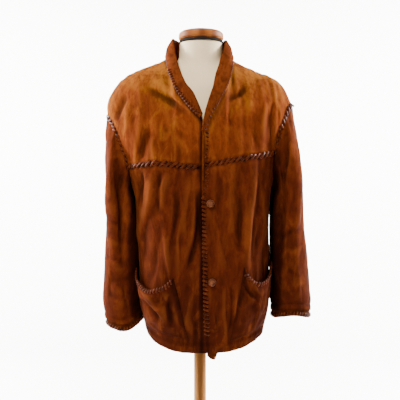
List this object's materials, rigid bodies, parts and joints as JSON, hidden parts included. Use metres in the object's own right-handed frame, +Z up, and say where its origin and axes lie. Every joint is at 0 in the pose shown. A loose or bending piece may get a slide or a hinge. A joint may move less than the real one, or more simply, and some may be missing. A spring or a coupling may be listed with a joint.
{
  "type": "suede jacket on a bust form and stand",
  "caption": "Long-sleeved suede jacket with laced seams, shawl collar and patch pockets, on a limbless bust form with a wooden neck cap, pole and round base.",
  "frame": {"origin": "middle of the underside of the stand's round base, on the pole's axis", "axes": "+Z up along the pole, -Y towards the jacket's front, +X towards the wearer's left"},
  "size_m": [0.5774, 0.34, 1.6],
  "materials": {
    "suede": "napped suede, matt, uneven",
    "suede_dark": "napped suede, darker turned-in side",
    "lacing": "smooth leather strip, satin",
    "button_leather": "woven smooth leather, satin",
    "form_cloth": "plain-woven cream cotton cover",
    "band_cloth": "narrow black tape",
    "wood": "stained and waxed, satin",
    "pole_wood": "plain turned wood, satin"
  },
  "bodies": {
    "root": {"front_right": "suede", "front_left": "suede", "back": "suede", "front_yoke_right": "suede", "front_yoke_left": "suede", "back_yoke": "suede", "sleeve_right": "suede", "sleeve_left": "suede", "collar": "suede", "pocket_right": "suede", "pocket_left": "suede", "cuff_right": "suede_dark", "cuff_left": "suede_dark", "front_facing_strip": "suede_dark", "facing_corner": "suede_dark", "lace_front_yoke_right": "lacing", "lace_front_yoke_left": "lacing", "lace_back_yoke": "lacing", "lace_armhole_right": "lacing", "lace_armhole_left": "lacing", "lace_front_edge": "lacing", "lace_collar": "lacing", "lace_pocket_right": "lacing", "lace_pocket_left": "lacing", "lace_cuff_right": "lacing", "lace_cuff_left": "lacing", "button_1": "button_leather", "button_2": "button_leather", "form_torso": "form_cloth", "neck_band": "band_cloth", "neck_cap": "wood", "base": "wood", "pole": "pole_wood"}
  },
  "joints": []
}
